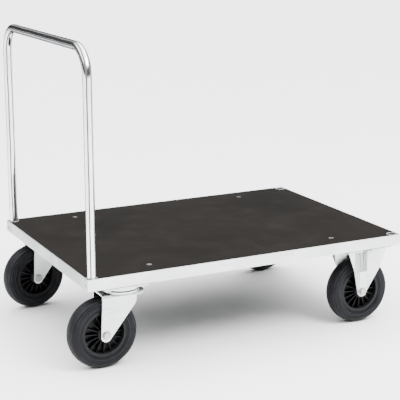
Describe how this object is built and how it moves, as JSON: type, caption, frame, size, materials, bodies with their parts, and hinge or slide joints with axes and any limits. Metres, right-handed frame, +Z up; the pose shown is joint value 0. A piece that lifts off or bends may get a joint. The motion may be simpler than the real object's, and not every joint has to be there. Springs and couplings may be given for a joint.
{
  "type": "platform cart",
  "caption": "Flat platform cart with a dark board in a steel frame, a plug-in tube push bow, swivel casters at the bow end and fixed casters at the far end.",
  "frame": {"origin": "floor level, middle of the whole footprint (the deck's middle is 20 mm towards +X, because the swivel wheels trail out past the bow end)", "axes": "+X along the deck from the bow end to the far end, +Z up out of the deck, +Y to the rear side"},
  "size_m": [1.041, 0.7, 0.89],
  "materials": {
    "zinc_steel": "bright zinc plate, satin",
    "bow_steel": "bright plated tube",
    "deck_film": "dark brown-black phenolic film on plywood, semi-matt",
    "tyre_rubber": "matt black rubber",
    "rim_plastic": "black moulded plastic",
    "fastener_steel": "plain zinc fastener steel"
  },
  "bodies": {
    "chassis": {"deck_board": "deck_film", "rail_front": "zinc_steel", "rail_rear": "zinc_steel", "rail_handle_end": "zinc_steel", "rail_far_end": "zinc_steel", "channel_handle_end": "zinc_steel", "channel_far_end": "zinc_steel", "centre_brace": "zinc_steel", "socket_handle_front": "zinc_steel", "deck_bolt_handle_front": "fastener_steel", "socket_handle_rear": "zinc_steel", "deck_bolt_handle_rear": "fastener_steel", "socket_far_front": "zinc_steel", "deck_bolt_far_front": "fastener_steel", "socket_far_rear": "zinc_steel", "deck_bolt_far_rear": "fastener_steel", "deck_nuts": "fastener_steel", "set_screws": "fastener_steel", "swivel_front_top_plate": "zinc_steel", "swivel_front_plate_bolts": "fastener_steel", "swivel_front_kingpin": "fastener_steel", "swivel_front_ball_race": "fastener_steel", "swivel_rear_top_plate": "zinc_steel", "swivel_rear_plate_bolts": "fastener_steel", "swivel_rear_kingpin": "fastener_steel", "swivel_rear_ball_race": "fastener_steel", "fixed_front_bracket": "zinc_steel", "fixed_front_plate_bolts": "fastener_steel", "fixed_front_axle_bolt": "fastener_steel", "fixed_front_axle_nut": "fastener_steel", "fixed_rear_bracket": "zinc_steel", "fixed_rear_plate_bolts": "fastener_steel", "fixed_rear_axle_bolt": "fastener_steel", "fixed_rear_axle_nut": "fastener_steel"},
    "handle": {"handle_tube": "bow_steel", "handle_plugs": "rim_plastic"},
    "swivel_front_fork_body": {"swivel_front_fork": "zinc_steel", "swivel_front_axle_bolt": "fastener_steel", "swivel_front_axle_nut": "fastener_steel"},
    "swivel_front_wheel": {"swivel_front_tyre": "tyre_rubber", "swivel_front_rim": "rim_plastic", "swivel_front_hub_bush": "fastener_steel"},
    "swivel_rear_fork_body": {"swivel_rear_fork": "zinc_steel", "swivel_rear_axle_bolt": "fastener_steel", "swivel_rear_axle_nut": "fastener_steel"},
    "swivel_rear_wheel": {"swivel_rear_tyre": "tyre_rubber", "swivel_rear_rim": "rim_plastic", "swivel_rear_hub_bush": "fastener_steel"},
    "fixed_front_wheel": {"fixed_front_tyre": "tyre_rubber", "fixed_front_rim": "rim_plastic", "fixed_front_hub_bush": "fastener_steel"},
    "fixed_rear_wheel": {"fixed_rear_tyre": "tyre_rubber", "fixed_rear_rim": "rim_plastic", "fixed_rear_hub_bush": "fastener_steel"}
  },
  "joints": [
    {"name": "handle_lift", "type": "slide", "parent": "chassis", "child": "handle", "axis": [0, 0, 1], "range_m": [0, 0.2]},
    {"name": "swivel_front_turn", "type": "hinge", "parent": "chassis", "child": "swivel_front_fork_body", "pos_m": [-0.364, -0.291, 0.22], "axis": [0, 0, 1], "continuous": true},
    {"name": "swivel_front_roll", "type": "hinge", "parent": "swivel_front_fork_body", "child": "swivel_front_wheel", "pos_m": [-0.421, -0.291, 0.1], "axis": [0, 1, 0], "continuous": true},
    {"name": "swivel_rear_turn", "type": "hinge", "parent": "chassis", "child": "swivel_rear_fork_body", "pos_m": [-0.364, 0.291, 0.22], "axis": [0, 0, 1], "continuous": true},
    {"name": "swivel_rear_roll", "type": "hinge", "parent": "swivel_rear_fork_body", "child": "swivel_rear_wheel", "pos_m": [-0.42039, 0.28267, 0.1], "axis": [-0.1461, 0.9893, 0], "continuous": true},
    {"name": "fixed_front_roll", "type": "hinge", "parent": "chassis", "child": "fixed_front_wheel", "pos_m": [0.4065, -0.291, 0.1], "axis": [0, 1, 0], "continuous": true},
    {"name": "fixed_rear_roll", "type": "hinge", "parent": "chassis", "child": "fixed_rear_wheel", "pos_m": [0.4065, 0.291, 0.1], "axis": [0, 1, 0], "continuous": true}
  ]
}
